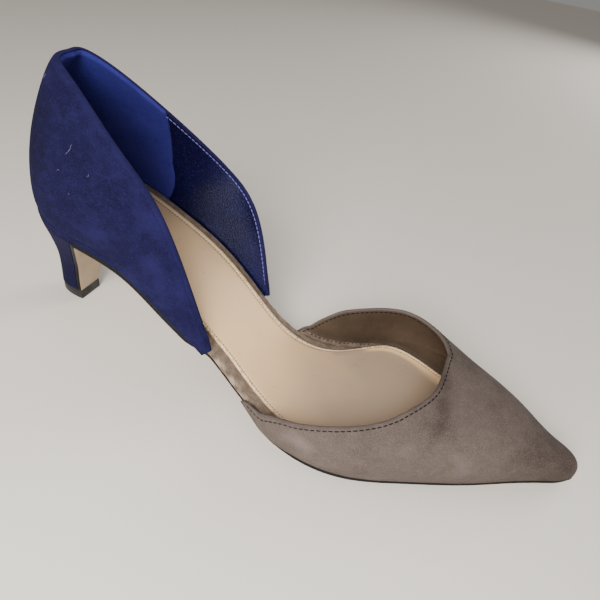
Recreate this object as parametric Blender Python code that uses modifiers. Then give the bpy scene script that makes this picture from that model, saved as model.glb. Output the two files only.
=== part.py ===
"""A right-foot dorsay pump with a pointed toe, a covered curved heel and an open waist on both sides.

The shoe is built round its last. The last has a sole curve, which is the side view of its bottom, an
outline, which is the plan of its bottom, and sections across the forefoot. The board, the lining sock, the
outsole, the vamp, the counter and the heel all read their places from these.

Metres, +Z up, +X towards the toe, +Y towards the inner (medial) side of the foot. The origin is on the
floor, under the middle of the heel's top lift.
"""

import math

import bmesh
import bpy
import numpy as np

MM = 0.001

# Driving dimensions of the last
SOLE_LENGTH = 255 * MM  # along the sole curve, heel back to toe tip
BALL_WIDTH = 75 * MM  # the outline's half widths are shares of it
SEAT_HEIGHT = 56 * MM  # drop of the sole curve from the heel back to the tread
SEAT_ROUND = 27 * MM  # how far the outline's round back reaches
TOE_ROUND = 7 * MM  # how far the outline's round tip reaches
TOE_TIP_SHIFT = 3.2 * MM  # the tip points this far to the medial side
VAMP_HEIGHT = 35 * MM  # crown of the forefoot above the board's underside, at the throat
CROWN_SHIFT = 14 * MM  # the crown line runs this far to the medial side
SECTION_FULLNESS = 2.3  # 2 is an ellipse, more is squarer
FEATHER_RISE = 7 * MM  # height of the widest girth
FEATHER_SWELL = 1.4 * MM  # how far the wall swells over the feather edge
TOE_BULK_ROUND = 12 * MM  # how far the toe's round front reaches
LOW_CLIMB = 0.18  # share of the climb from the feather edge that ends at the widest girth
CROWN_FADE = 0.30  # share of the sole length over which the crown line comes back to the middle

# Driving dimensions of the pieces
WALL = 1.8 * MM  # vamp and counter, leather with its lining
BOARD_THICKNESS = 3.2 * MM
SOCK_THICKNESS = 1.2 * MM
SOCK_INSET = 5.5 * MM  # bare wrapped margin of the board round the sock, at the waist and seat
SOCK_INSET_TOE = 1.2 * MM
SOCK_WIDENS_AT = (0.50, 0.78)  # shares of the sole length where the margin starts and ends to narrow
OUTSOLE_THICKNESS = 2.0 * MM
OUTSOLE_EDGE = 0.4 * MM  # how far the outsole stands out under the vamp
WAIST_TUCK = 2.0 * MM  # how far the outsole hides under the board at the waist
COUNTER_HEIGHT = 55 * MM  # back of the topline above the seat
COUNTER_LEAN = 18 * MM  # how far forward the top of the back stands
COUNTER_SWELL = 6.0 * MM  # roundness of the back line
COUNTER_FULLNESS = 0.65  # power of the back line's sine: 1 is plain, less is squarer
HEEL_SEAT_LENGTH = 29 * MM  # heel back to breast, along the seat
HEEL_TIP_LENGTH = 13 * MM
HEEL_TIP_WIDTH = 12.5 * MM
HEEL_TIP_BACK = -7.4 * MM  # back of the heel's tip, ahead of the seat's back
TOP_LIFT_THICKNESS = 5.0 * MM
GAP = 0.3 * MM  # between pieces that touch

# Shares of the sole length where the upper's open edges start and end
THROAT_AT = 0.756
VAMP_WING_MEDIAL_AT = 0.490
VAMP_WING_LATERAL_AT = 0.473
COUNTER_WING_MEDIAL_AT = 0.400
COUNTER_WING_LATERAL_AT = 0.382
SEAT_MIDDLE_AT = 0.13  # the counter's wall faces away from here
FOOT_SHARE = 0.08  # the lowest rows of the counter's wall stand square on the sole, past the board
WING_TIP_SHARE = 0.965  # the vamp's wings are cut off at this share of their run to the feather

MEDIAL, LATERAL = 1, -1

# Slope of the sole curve: share of the sole length, degrees down to the toe
SLOPE_ROWS = (
    ("heel back", 0.000, 10.0),
    ("seat front", 0.150, 12.5),
    ("shank", 0.370, 42.0),
    ("tread back", 0.647, 0.0),
    ("tread front", 0.725, 0.0),
    ("toe tip", 1.000, -6.0),
)

# Plan of the last's bottom: share of the sole length, medial and lateral half widths as shares of
# BALL_WIDTH
OUTLINE_ROWS = (
    ("heel back", 0.00, 0.328, 0.342),
    ("seat", 0.12, 0.331, 0.338),
    ("seat front", 0.20, 0.286, 0.342),
    ("breast of the arch", 0.30, 0.266, 0.382),
    ("waist", 0.40, 0.248, 0.378),
    ("waist front", 0.50, 0.242, 0.448),
    ("joint back", 0.60, 0.357, 0.516),
    ("ball", 0.67, 0.470, 0.498),
    ("joint front", 0.76, 0.396, 0.378),
    ("toes", 0.85, 0.275, 0.236),
    ("point", 0.93, 0.157, 0.092),
    ("toe tip", 1.00, 0.072, -0.010),
)

# Crown of the last over the forefoot: share of the sole length, height as a share of VAMP_HEIGHT
CROWN_ROWS = (
    ("waist front", 0.47, 2.160),
    ("joint back", 0.60, 1.320),
    ("ball", 0.70, 1.020),
    ("throat front", 0.80, 0.800),
    ("toes", 0.90, 0.570),
    ("toe", 0.97, 0.310),
    ("toe tip", 1.00, 0.280),
)

# Topline of the vamp, down the last from the throat on the crown line to the wing tip on the feather
# edge: share of the way down, medial and lateral run back from the throat as shares of the wing's run
THROAT_ROWS = (
    ("throat", 0.00, 0.000, 0.000),
    ("throat side", 0.20, 0.080, 0.014),
    ("upper side", 0.45, 0.365, 0.172),
    ("side", 0.70, 0.815, 0.620),
    ("lower side", 0.88, 0.975, 0.950),
    ("wing tip", 1.00, 1.000, 1.000),
)

# Topline of the counter on each side, from the back's top to the wing tip: share of the way along it,
# forward of the back's top as a share of the wing's reach, height as a share of COUNTER_HEIGHT, and half
# width as a share of BALL_WIDTH
TOPLINE_MEDIAL_ROWS = (
    ("back", 0.00, 0.000, 1.000, 0.000),
    ("turn", 0.07, 0.002, 1.000, 0.050),
    ("corner", 0.18, 0.120, 0.940, 0.080),
    ("upper side", 0.38, 0.360, 0.632, 0.240),
    ("side", 0.58, 0.595, 0.235, 0.440),
    ("lower side", 0.80, 0.840, -0.065, 0.360),
)
TOPLINE_LATERAL_ROWS = (
    ("back", 0.00, 0.000, 1.000, 0.000),
    ("turn", 0.07, 0.000, 0.990, 0.080),
    ("corner", 0.18, 0.127, 0.928, 0.164),
    ("upper side", 0.38, 0.384, 0.655, 0.233),
    ("side", 0.58, 0.577, 0.375, 0.244),
    ("lower side", 0.80, 0.787, -0.052, 0.298),
)

# Heel, down from the seat: share of its height, back and breast as shares of the way from the seat's to
# the tip's own back and breast, half width as a share of the way from the seat's to the tip's
HEEL_ROWS = (
    ("seat", 0.00, 0.00, 0.00, 0.00),
    ("cup", 0.12, 0.22, 0.19, 0.18),
    ("cup foot", 0.25, 0.38, 0.38, 0.38),
    ("neck", 0.43, 0.48, 0.61, 0.62),
    ("shank", 0.62, 0.56, 0.80, 0.82),
    ("low shank", 0.80, 0.72, 0.92, 0.92),
    ("tip", 1.00, 1.00, 1.00, 1.00),
)

COLOURS = {
    "taupe suede": ((0.19, 0.155, 0.135), 0.9),
    "blue suede": ((0.03, 0.028, 0.11), 0.9),
    "nude leather": ((0.62, 0.45, 0.32), 0.5),
    "tan sole leather": ((0.50, 0.36, 0.25), 0.5),
    "black rubber": ((0.02, 0.02, 0.02), 0.6),
}


def steady(knots, values, at):
    """A cubic through the knots that never overshoots them, with level ends on a level stretch."""
    knots, values, at = np.asarray(knots), np.asarray(values), np.asarray(at, float)
    chord = np.diff(values) / np.diff(knots)
    slope = np.concatenate([chord[:1], (chord[1:] + chord[:-1]) / 2, chord[-1:]])
    for i in range(1, len(chord)):
        a, b = chord[i - 1], chord[i]
        slope[i] = 2 * a * b / (a + b) if a * b > 0 else 0.0
    i = np.clip(np.searchsorted(knots, at, side="right") - 1, 0, len(chord) - 1)
    span = knots[i + 1] - knots[i]
    t = np.clip((at - knots[i]) / span, 0, 1)
    rise = values[i + 1] - values[i]
    return (
        values[i]
        + rise * t**2 * (3 - 2 * t)
        + span * slope[i] * t * (1 - t) ** 2
        - span * slope[i + 1] * t**2 * (1 - t)
    )


def spline(knots, values, at):
    """The natural cubic spline through the knots, as a draughtsman's lath bends."""
    knots, values, at = np.asarray(knots), np.asarray(values), np.asarray(at, float)
    span = np.diff(knots)
    chord = np.diff(values) / span
    system = np.eye(len(knots))
    right = np.zeros(len(knots))
    for i in range(1, len(knots) - 1):
        system[i, i - 1 : i + 2] = span[i - 1], 2 * (span[i - 1] + span[i]), span[i]
        right[i] = 6 * (chord[i] - chord[i - 1])
    bend = np.linalg.solve(system, right)
    i = np.clip(np.searchsorted(knots, at, side="right") - 1, 0, len(span) - 1)
    a, b, h = knots[i + 1] - at, at - knots[i], span[i]
    return (
        (bend[i] * a**3 + bend[i + 1] * b**3) / (6 * h)
        + (values[i] / h - bend[i] * h / 6) * a
        + (values[i + 1] / h - bend[i + 1] * h / 6) * b
    )


def columns(rows):
    """The number columns of a table whose rows start with a name."""
    return [np.array(column, float) for column in list(zip(*rows))[1:]]


def sole_curve():
    """Shares, x, z and slope (radians) along the underside of the board.

    The slopes down to the tread are steepened together until the drop is SEAT_HEIGHT, and the tread lies
    on the outsole's thickness.
    """
    share = np.linspace(0, 1, 801)
    at, degrees = columns(SLOPE_ROWS)

    def trace(steeper):
        angle = np.radians(steady(at, np.where(degrees > 0, degrees * steeper, degrees), share))
        middle = (angle[1:] + angle[:-1]) / 2
        step = SOLE_LENGTH / (len(share) - 1)
        x = np.concatenate([[0], np.cumsum(np.cos(middle)) * step])
        z = np.concatenate([[0], -np.cumsum(np.sin(middle)) * step])
        return x, z - z.min(), angle

    low, high = 0.1, 2.0
    for _ in range(50):
        steeper = (low + high) / 2
        if trace(steeper)[1][0] < SEAT_HEIGHT:
            low = steeper
        else:
            high = steeper
    x, z, angle = trace(steeper)
    return share, x, z + OUTSOLE_THICKNESS + GAP, angle


SHARE, CURVE_X, CURVE_Z, CURVE_ANGLE = sole_curve()
HEEL_TIP_MIDDLE = HEEL_TIP_BACK + HEEL_TIP_LENGTH / 2


def place(s, y, height):
    """Points at share s of the sole length, y across and height above the board's underside."""
    s, y, height = np.broadcast_arrays(np.asarray(s, float), y, height)
    angle = np.interp(s, SHARE, CURVE_ANGLE)
    past = (s - np.clip(s, 0, 1)) * SOLE_LENGTH
    x = np.interp(s, SHARE, CURVE_X) + np.cos(angle) * past + np.sin(angle) * height - HEEL_TIP_MIDDLE
    z = np.interp(s, SHARE, CURVE_Z) - np.sin(angle) * past + np.cos(angle) * height
    return np.stack([x, y, z], -1)


def round_end(distance, reach):
    """Quarter circle law: 0 at an end, 1 from reach onwards."""
    return np.sqrt(np.clip(1 - np.clip(1 - distance / reach, 0, 1) ** 2, 0, 1))


def outline(s, side, grow=0.0):
    """y of the last's feather edge at share s, moved outwards by grow."""
    s = np.asarray(s, float)
    at, medial, lateral = columns(OUTLINE_ROWS)
    half = spline(at, (medial if side == MEDIAL else lateral) * BALL_WIDTH, np.clip(s, 0, 1))
    tip_side = TOE_TIP_SHIFT * np.clip((s - at[-3]) / (1 - at[-3]), 0, 1) ** 2
    back = round_end(s * SOLE_LENGTH + grow, SEAT_ROUND + grow)
    front = round_end((1 - s) * SOLE_LENGTH + grow, TOE_ROUND + grow)
    return side * ((half - side * tip_side + grow) * back * front) + tip_side


def end_shares(first, last, count_back, count_middle, count_front, grow=0.0):
    """Shares from first to last, close together where the outline's ends are round.

    With grow the shares run past 0 and 1 by that length, for a piece that is larger than the last.
    """
    over = grow / SOLE_LENGTH
    back_reach = SEAT_ROUND / SOLE_LENGTH
    front_reach = TOE_ROUND / SOLE_LENGTH
    runs = []
    start, end = first, last
    if first <= 0:
        turn = np.linspace(0, math.pi / 2, count_back + 1)
        runs.append(-over + (back_reach + over) * (1 - np.cos(turn)))
        start = back_reach
    if last >= 1:
        end = 1 - front_reach
    runs.append(np.linspace(start, end, count_middle + 1))
    if last >= 1:
        turn = np.linspace(0, math.pi / 2, count_front + 1)
        runs.append(1 - front_reach + (front_reach + over) * np.sin(turn))
    return np.unique(np.concatenate(runs).round(9))


def crown_height(s):
    """Height of the crown line at share s, with a blunt round front at the toe."""
    at, height = columns(CROWN_ROWS)
    to_tip = np.clip(1 - (1 - np.asarray(s)) * SOLE_LENGTH / TOE_BULK_ROUND, 0, 1)
    return spline(at, height * VAMP_HEIGHT, s) * np.cbrt(1 - to_tip**3)


def section(s, side, climb):
    """Points on the last, at share s and climb 0 at the feather edge to 1 on the crown line.

    The wall first swells out over the feather edge by a raised cosine, then follows a superellipse up to
    the crown.
    """
    s, climb = np.broadcast_arrays(np.asarray(s, float), np.asarray(climb, float))
    medial, lateral = outline(s, MEDIAL), outline(s, LATERAL)
    width = medial - lateral
    fade = np.clip((1 - s) / CROWN_FADE, 0, 1)
    crown_y = (medial + lateral) / 2 + np.minimum(CROWN_SHIFT, width * 0.25) * fade
    half = np.where(side == MEDIAL, medial - crown_y, crown_y - lateral)
    height = crown_height(s)
    rise = np.minimum(FEATHER_RISE, height * 0.35)
    swell = FEATHER_SWELL * np.clip(width / BALL_WIDTH * 2, 0, 1)
    low = np.clip(climb / LOW_CLIMB, 0, 1)
    angle = np.clip((climb - LOW_CLIMB) / (1 - LOW_CLIMB), 0, 1) * math.pi / 2
    power = 2 / SECTION_FULLNESS
    across = (half + swell * (1 - np.cos(math.pi * low)) / 2) * np.cos(angle) ** power
    up = rise * low + (height - rise) * np.sin(angle) ** power
    return place(s, crown_y + side * across, up)


def grid_faces(rows, count, start=0):
    """Corner numbers of the faces of a grid of points."""
    corners = [start + r * count + c for r in range(rows - 1) for c in range(count - 1)]
    return [(n, n + 1, n + count + 1, n + count) for n in corners]


def mesh_object(name, points, faces, material, weld=2e-5):
    """A named object from points and faces, with doubles welded and its faces turned one way."""
    mesh = bpy.data.meshes.new(name)
    mesh.from_pydata([tuple(p) for p in points], [], faces)
    built = bmesh.new()
    built.from_mesh(mesh)
    bmesh.ops.remove_doubles(built, verts=built.verts, dist=weld)
    bmesh.ops.dissolve_degenerate(built, edges=built.edges, dist=1e-6)
    bmesh.ops.recalc_face_normals(built, faces=built.faces)
    built.to_mesh(mesh)
    built.free()
    mesh.shade_smooth()
    mesh.set_sharp_from_angle(angle=math.radians(40))
    mesh.materials.append(MATERIALS[material])
    thing = bpy.data.objects.new(name, mesh)
    PARTS.objects.link(thing)
    return thing


def turn_up(thing, towards):
    """Turns an open surface's faces so that they look towards the side that the test says."""
    mesh = thing.data
    score = sum(towards(face.center, face.normal) * face.area for face in mesh.polygons)
    if score < 0:
        mesh.flip_normals()


def thicken(thing, thickness):
    """Gives an open surface a wall on the side that its faces look to."""
    wall = thing.modifiers.new("wall", "SOLIDIFY")
    wall.thickness = thickness
    wall.offset = 1
    wall.use_even_offset = True
    wall.use_quality_normals = True
    return thing


def sole_grid(shares, edge, height, across):
    """Rows of points across the sole, each straight from the lateral to the medial edge."""
    share, part = np.meshgrid(shares, np.linspace(0, 1, across + 1), indexing="ij")
    lateral, medial = edge(share, LATERAL), edge(share, MEDIAL)
    return place(share, lateral + (medial - lateral) * part, height)


def plate(name, shares, edge, height, thickness, material, across=6):
    """A plate that follows the sole curve, from height upwards."""
    points = sole_grid(shares, edge, height, across)
    thing = mesh_object(name, points.reshape(-1, 3), grid_faces(len(shares), across + 1), material)
    turn_up(thing, lambda centre, normal: normal.z)
    return thicken(thing, thickness)


def insole_board():
    """The board that carries the shoe, wrapped in suede that shows at the waist."""
    shares = end_shares(0, 1, 7, 34, 5, -GAP)
    board = plate("insole_board", shares, board_edge, 0, BOARD_THICKNESS, "taupe suede")
    soften(board, 0.9 * MM)
    return board


def board_edge(s, side):
    """y of the board's edge, GAP inside the last's feather edge."""
    return outline(s, side, -GAP)


def soften(thing, width):
    """Rounds the rim's sharp edges."""
    edge = thing.modifiers.new("edge", "BEVEL")
    edge.width = width
    edge.segments = 2
    edge.limit_method = "ANGLE"
    edge.angle_limit = math.radians(50)
    return edge


def sock_inset(s):
    """The sock's margin: wide at the seat and waist, and narrow inside the vamp."""
    insets = (SOCK_INSET, SOCK_INSET, SOCK_INSET_TOE, SOCK_INSET_TOE)
    return steady((0.0, *SOCK_WIDENS_AT, 1.0), insets, s)


def sock_edge(s, side):
    """y of the sock's edge: the feather edge drawn in by the margin, and rounded at both ends."""
    s = np.asarray(s, float)
    inset = sock_inset(s)
    back = round_end(s * SOLE_LENGTH - SOCK_INSET, SEAT_ROUND - SOCK_INSET)
    last = 1 - TOE_BULK_ROUND / SOLE_LENGTH
    front = round_end((last - s) * SOLE_LENGTH, TOE_ROUND)
    centre = (outline(s, MEDIAL) + outline(s, LATERAL)) / 2
    whole = SEAT_ROUND / SOLE_LENGTH
    half = np.abs(outline(np.maximum(s, whole), side) - np.where(s > whole, centre, 0)) - inset
    return np.where(s > whole, centre, 0) + side * np.maximum(half, 0) * back * front


def insole_sock():
    """The leather lining sock, glued on the board inside a bare margin."""
    first, last = SOCK_INSET / SOLE_LENGTH, 1 - TOE_BULK_ROUND / SOLE_LENGTH
    turn = np.linspace(0, math.pi / 2, 8)
    back_reach = SEAT_ROUND / SOLE_LENGTH - first
    front_reach = TOE_ROUND / SOLE_LENGTH
    shares = np.concatenate(
        [
            first + back_reach * (1 - np.cos(turn[:-1])),
            np.linspace(first + back_reach, last - front_reach, 32),
            last - front_reach + front_reach * np.sin(turn[2::2]),
        ]
    )
    return plate("insole_sock", shares, sock_edge, BOARD_THICKNESS + GAP, SOCK_THICKNESS, "nude leather")


def outsole_grow(s):
    """How far the outsole stands outside the feather edge: out under the uppers, in at the bare waist."""
    rows = (
        (0.0, WALL),
        (COUNTER_WING_LATERAL_AT - 0.04, WALL),
        (COUNTER_WING_LATERAL_AT + 0.02, -WAIST_TUCK),
        (VAMP_WING_MEDIAL_AT - 0.01, -WAIST_TUCK),
        (VAMP_WING_MEDIAL_AT + 0.06, WALL + OUTSOLE_EDGE),
        (1.0, WALL + OUTSOLE_EDGE),
    )
    return steady(*zip(*rows), s)


def outsole():
    """The leather outsole, from the toe to the seat and down the heel's breast."""
    grow = WALL + OUTSOLE_EDGE
    breast = HEEL_SEAT_LENGTH / SOLE_LENGTH
    shares = end_shares(breast, 1, 0, 40, 5, grow)[::-1]
    across = 6
    part = np.linspace(0, 1, across + 1)
    rows = []
    for s in shares:
        out = float(outsole_grow(s))
        lateral, medial = outline(s, LATERAL, out), outline(s, MEDIAL, out)
        rows.append(place(s, lateral + (medial - lateral) * part, -GAP))
    rows += breast_flap(rows[-1], part)
    points = np.array(rows)
    faces = grid_faces(len(rows), across + 1)
    thing = mesh_object("outsole", points.reshape(-1, 3), faces, "tan sole leather")
    turn_up(thing, lambda centre, normal: -normal.z + normal.x)
    return thicken(thing, OUTSOLE_THICKNESS)


def breast_flap(top_row, part):
    """Rows of the outsole down the front face of the heel, GAP ahead of it, to just above the top lift."""
    rows = []
    for down in np.linspace(0, 1, 12)[1:]:
        share = 0.02 + 0.975 * down
        back, breast, half_medial, half_lateral, z_breast = heel_level(share)
        y = -half_lateral + (half_medial + half_lateral) * part
        rows.append(np.stack([np.full_like(part, breast + GAP), y, np.full_like(part, z_breast)], -1))
    return rows


def heel_level(share):
    """Back x, breast x, medial and lateral half widths, and the breast's z, at a share of the way down."""
    at, back_part, breast_part, width_part = columns(HEEL_ROWS)
    breast_share = HEEL_SEAT_LENGTH / SOLE_LENGTH
    seat_back = place(0, 0, -GAP)[0] - WALL
    seat_breast = place(breast_share, 0, -GAP)[0] - GAP
    seat_z = place(breast_share, 0, -GAP)[2]
    tip_back = -HEEL_TIP_LENGTH / 2
    tip_breast = HEEL_TIP_LENGTH / 2
    back = seat_back + (tip_back - seat_back) * spline(at, back_part, share)
    breast = seat_breast + (tip_breast - seat_breast) * spline(at, breast_part, share)
    drawn_in = spline(at, width_part, share)
    half = []
    for side in (MEDIAL, LATERAL):
        seat_half = abs(float(outline(breast_share, side, WALL)))
        half.append(seat_half + (HEEL_TIP_WIDTH / 2 - seat_half) * drawn_in)
    bottom = TOP_LIFT_THICKNESS + GAP
    return back, breast, half[0], half[1], seat_z + (bottom - seat_z) * share


def heel_ring(share):
    """One section of the heel: the seat's outline drawn in to the level's length and widths."""
    breast_share = HEEL_SEAT_LENGTH / SOLE_LENGTH
    turn = np.linspace(0, math.pi / 2, 9)
    reach = min(SEAT_ROUND / SOLE_LENGTH, breast_share)
    over = WALL / SOLE_LENGTH
    shares = -over + (reach + over) * (1 - np.cos(turn))
    shares = np.concatenate([shares, np.linspace(reach, breast_share, 3)[1:]])
    medial = place(shares, outline(shares, MEDIAL, WALL), -GAP)
    lateral = place(shares, outline(shares, LATERAL, WALL), -GAP)
    seat = np.concatenate([medial[::-1], lateral[1:]])
    back0, breast0, half_medial0, half_lateral0, _ = heel_level(0.0)
    back, breast, half_medial, half_lateral, _ = heel_level(share)
    along = (seat[:, 0] - back0) / (breast0 - back0)
    half0 = np.where(seat[:, 1] > 0, half_medial0, half_lateral0)
    half = np.where(seat[:, 1] > 0, half_medial, half_lateral)
    bottom = TOP_LIFT_THICKNESS + GAP
    z = bottom + (seat[:, 2] - bottom) * (1 - share)
    return np.stack([back + (breast - back) * np.clip(along, 0, 1), seat[:, 1] / half0 * half, z], -1)


def closed_loft(name, rings, material):
    """A solid through rings of equal count, closed by a face at each end."""
    count = len(rings[0])
    faces = []
    for r in range(len(rings) - 1):
        for c in range(count):
            n = (c + 1) % count
            faces.append((r * count + c, r * count + n, (r + 1) * count + n, (r + 1) * count + c))
    faces.append(tuple(range(count)))
    faces.append(tuple(range((len(rings) - 1) * count, len(rings) * count)))
    return mesh_object(name, np.concatenate(rings), faces, material)


def heel():
    """The covered heel: a cup under the seat that draws in to a slim curved shank."""
    return closed_loft("heel", [heel_ring(share) for share in np.linspace(0, 1, 15)], "blue suede")


def top_lift():
    """The wearing piece under the heel's tip and the end of the outsole's flap."""
    ring = heel_ring(1.0)
    along = (ring[:, 0] - ring[:, 0].min()) / np.ptp(ring[:, 0])
    ring[:, 0] += along * (GAP + OUTSOLE_THICKNESS)
    rings = []
    for z in (TOP_LIFT_THICKNESS, 0.0):
        level = ring.copy()
        level[:, 2] = z
        rings.append(level)
    return closed_loft("top_lift", rings, "black rubber")


def throat_share(side, down):
    """Share of the sole length where the topline has come down the last by down, 0 at the crown."""
    at, medial, lateral = columns(THROAT_ROWS)
    wing_at = VAMP_WING_MEDIAL_AT if side == MEDIAL else VAMP_WING_LATERAL_AT
    run = steady(at, medial if side == MEDIAL else lateral, down)
    return THROAT_AT - (THROAT_AT - wing_at) * run


def vamp_section_rows(side):
    """Half sections from the wing tip to the toe, from the feather edge up to the topline or the crown."""
    climb = np.concatenate([[0, 0.03], np.linspace(0.09, 1, 11)])
    rows = []
    for down in WING_TIP_SHARE * np.linspace(1, 0, 15) ** 0.75:
        rows.append(section(throat_share(side, down), side, climb * (1 - down)))
    reach = TOE_BULK_ROUND / SOLE_LENGTH
    ahead = np.linspace(THROAT_AT, 1 - reach, 15)[1:]
    nose = 1 - reach + reach * np.sin(np.linspace(0, math.pi / 2, 8))[1:]
    for s in np.concatenate([ahead, nose]):
        rows.append(section(s, side, climb))
    return np.array(rows)


def vamp():
    """The vamp: a shell over the forefoot with a wing on each side, open at the throat and underneath."""
    halves = [vamp_section_rows(side) for side in (MEDIAL, LATERAL)]
    points, faces = [], []
    for half in halves:
        faces += grid_faces(half.shape[0], half.shape[1], sum(len(p) for p in points))
        points.append(half.reshape(-1, 3))
    thing = mesh_object("vamp", np.concatenate(points), faces, "taupe suede")
    middle = place(0.80, 0, VAMP_HEIGHT * 0.3)
    turn_up(thing, lambda centre, normal: sum((centre[i] - middle[i]) * normal[i] for i in range(3)))
    return thicken(thing, WALL)


def counter_rails(side, along):
    """Feet and heads of the counter's wall at shares of the way from the back to the wing tip."""
    wing_at = COUNTER_WING_MEDIAL_AT if side == MEDIAL else COUNTER_WING_LATERAL_AT
    reach = SEAT_ROUND / SOLE_LENGTH
    turn = reach * (1 - np.cos(np.linspace(0, math.pi / 2, 60)))
    fine = np.concatenate([turn, np.linspace(reach, wing_at, 90)[1:]])
    rail = place(fine, outline(fine, side), 0)
    length = np.concatenate([[0], np.cumsum(np.linalg.norm(np.diff(rail, axis=0), axis=1))])
    foot = np.stack([np.interp(along * length[-1], length, rail[:, i]) for i in range(3)], -1)
    at, forward, height, half = columns(TOPLINE_MEDIAL_ROWS if side == MEDIAL else TOPLINE_LATERAL_ROWS)
    tip = place(wing_at, outline(wing_at, side), BOARD_THICKNESS)
    back_top = place(0, 0, 0) + np.array([COUNTER_LEAN, 0, COUNTER_HEIGHT])
    x = np.append(back_top[0] + forward * (tip[0] - back_top[0]), tip[0])
    y = np.append(side * half * BALL_WIDTH, tip[1])
    z = np.append(back_top[2] - (1 - height) * COUNTER_HEIGHT, tip[2])
    knots = np.append(at, 1.0)
    head = np.stack([spline(knots, values, along) for values in (x, y, z)], -1)
    return foot, head


def counter_wall(side, along, levels):
    """Points of the counter's wall, a rib for each share along and a point for each share up it."""
    foot, head = counter_rails(side, along)
    outward = foot - place(SEAT_MIDDLE_AT, 0, 0)
    outward[:, 2] = 0
    outward /= np.linalg.norm(outward, axis=1)[:, None]
    swell = COUNTER_SWELL * np.clip((head[:, 2] - foot[:, 2]) / COUNTER_HEIGHT, 0, 1)
    angle = np.interp(foot[:, 0], place(SHARE, 0, 0)[:, 0], CURVE_ANGLE)
    square = np.stack([np.sin(angle), 0 * angle, np.cos(angle)], -1)
    stand = np.minimum(BOARD_THICKNESS + GAP, 0.6 * np.linalg.norm(head - foot, axis=1))
    low = foot[:, None] + (square * stand[:, None])[:, None] * np.minimum(levels / FOOT_SHARE, 1)[:, None]
    part = (np.maximum(levels, FOOT_SHARE) - FOOT_SHARE) / (1 - FOOT_SHARE)
    roundness = swell[:, None] * np.clip(np.sin(math.pi * part), 0, 1) ** COUNTER_FULLNESS
    return low + (head[:, None] - low) * part[:, None] + outward[:, None] * roundness[..., None]


def counter():
    """The counter: a shell round the heel whose topline sweeps down to the waist on both sides."""
    levels = np.concatenate([[0, FOOT_SHARE], np.linspace(0.12, 1, 10)])
    along = np.linspace(1, 0, 25)
    medial = counter_wall(MEDIAL, along, levels)
    lateral = counter_wall(LATERAL, along, levels)[::-1][1:]
    points = np.concatenate([medial, lateral])
    thing = mesh_object("counter", points.reshape(-1, 3), grid_faces(len(points), len(levels)), "blue suede")
    middle = place(SEAT_MIDDLE_AT, 0, COUNTER_HEIGHT * 0.4)
    turn_up(thing, lambda centre, normal: sum((centre[i] - middle[i]) * normal[i] for i in range(3)))
    return thicken(thing, WALL)


def leather(name, colour, roughness):
    """A plain material of one colour."""
    material = bpy.data.materials.new(name)
    material.use_nodes = True
    shader = material.node_tree.nodes["Principled BSDF"]
    shader.inputs["Base Color"].default_value = (*colour, 1)
    shader.inputs["Roughness"].default_value = roughness
    return material


for old in list(bpy.data.objects):
    bpy.data.objects.remove(old)
PARTS = bpy.data.collections.new("dorsay_pump")
bpy.context.scene.collection.children.link(PARTS)
MATERIALS = {name: leather(name, *look) for name, look in COLOURS.items()}

outsole()
insole_board()
insole_sock()
vamp()
counter()
heel()
top_lift()
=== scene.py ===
"""A right-foot dorsay pump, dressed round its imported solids: suede, linings, folds, stitches and creases.

Metres, +Z up, +X towards the toe, +Y towards the inner (medial) side. The origin is on the floor, under the
middle of the heel's tip.
"""

import math

import bmesh
import bpy
import numpy as np
from mathutils import Matrix, Vector


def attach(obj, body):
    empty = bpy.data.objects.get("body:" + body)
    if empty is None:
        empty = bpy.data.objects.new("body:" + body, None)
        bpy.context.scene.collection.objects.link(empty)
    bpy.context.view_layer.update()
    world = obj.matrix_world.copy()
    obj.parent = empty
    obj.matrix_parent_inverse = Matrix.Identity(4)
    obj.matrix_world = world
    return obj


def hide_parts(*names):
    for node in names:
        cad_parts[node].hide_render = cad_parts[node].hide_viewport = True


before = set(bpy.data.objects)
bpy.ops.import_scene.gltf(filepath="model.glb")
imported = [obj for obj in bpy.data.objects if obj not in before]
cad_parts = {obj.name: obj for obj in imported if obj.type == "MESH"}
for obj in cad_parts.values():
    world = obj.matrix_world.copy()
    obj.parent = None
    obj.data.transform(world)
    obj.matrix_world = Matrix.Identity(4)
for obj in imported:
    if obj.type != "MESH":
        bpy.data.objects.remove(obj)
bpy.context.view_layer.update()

# Insole board
# The stiff board that carries the shoe. It is wrapped in thin taupe suede, pulled round its edge and glued
# under it, which shows as a bare margin round the sock and as the puckered edge of the open waist.

MM = 0.001
SOLE_LENGTH, BALL_WIDTH, SEAT_HEIGHT = 255 * MM, 75 * MM, 56 * MM
SEAT_ROUND, TOE_ROUND, TOE_TIP_SHIFT = 27 * MM, 7 * MM, 3.2 * MM
OUTSOLE_THICKNESS, BOARD_THICKNESS, GAP, WALL = 2.0 * MM, 3.2 * MM, 0.3 * MM, 1.8 * MM
HEEL_TIP_BACK, HEEL_TIP_LENGTH = -7.4 * MM, 13 * MM
MEDIAL, LATERAL = 1, -1

# Share of the sole length, slope in degrees down to the toe
SLOPES = np.array([(0, 10.0), (0.150, 12.5), (0.370, 42.0), (0.647, 0), (0.725, 0), (1, -6.0)]).T

# Share of the sole length, medial and lateral half widths as shares of the ball's width
OUTLINE = np.array(
    [
        (0.00, 0.328, 0.342),
        (0.12, 0.331, 0.338),
        (0.20, 0.286, 0.342),
        (0.30, 0.266, 0.382),
        (0.40, 0.248, 0.378),
        (0.50, 0.242, 0.448),
        (0.60, 0.357, 0.516),
        (0.67, 0.470, 0.498),
        (0.76, 0.396, 0.378),
        (0.85, 0.275, 0.236),
        (0.93, 0.157, 0.092),
        (1.00, 0.072, -0.010),
    ]
).T


def bell(distance, width):
    """A bell curve: the exponential of minus the square of distance over width."""
    return np.exp(-((distance / width) ** 2))


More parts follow.
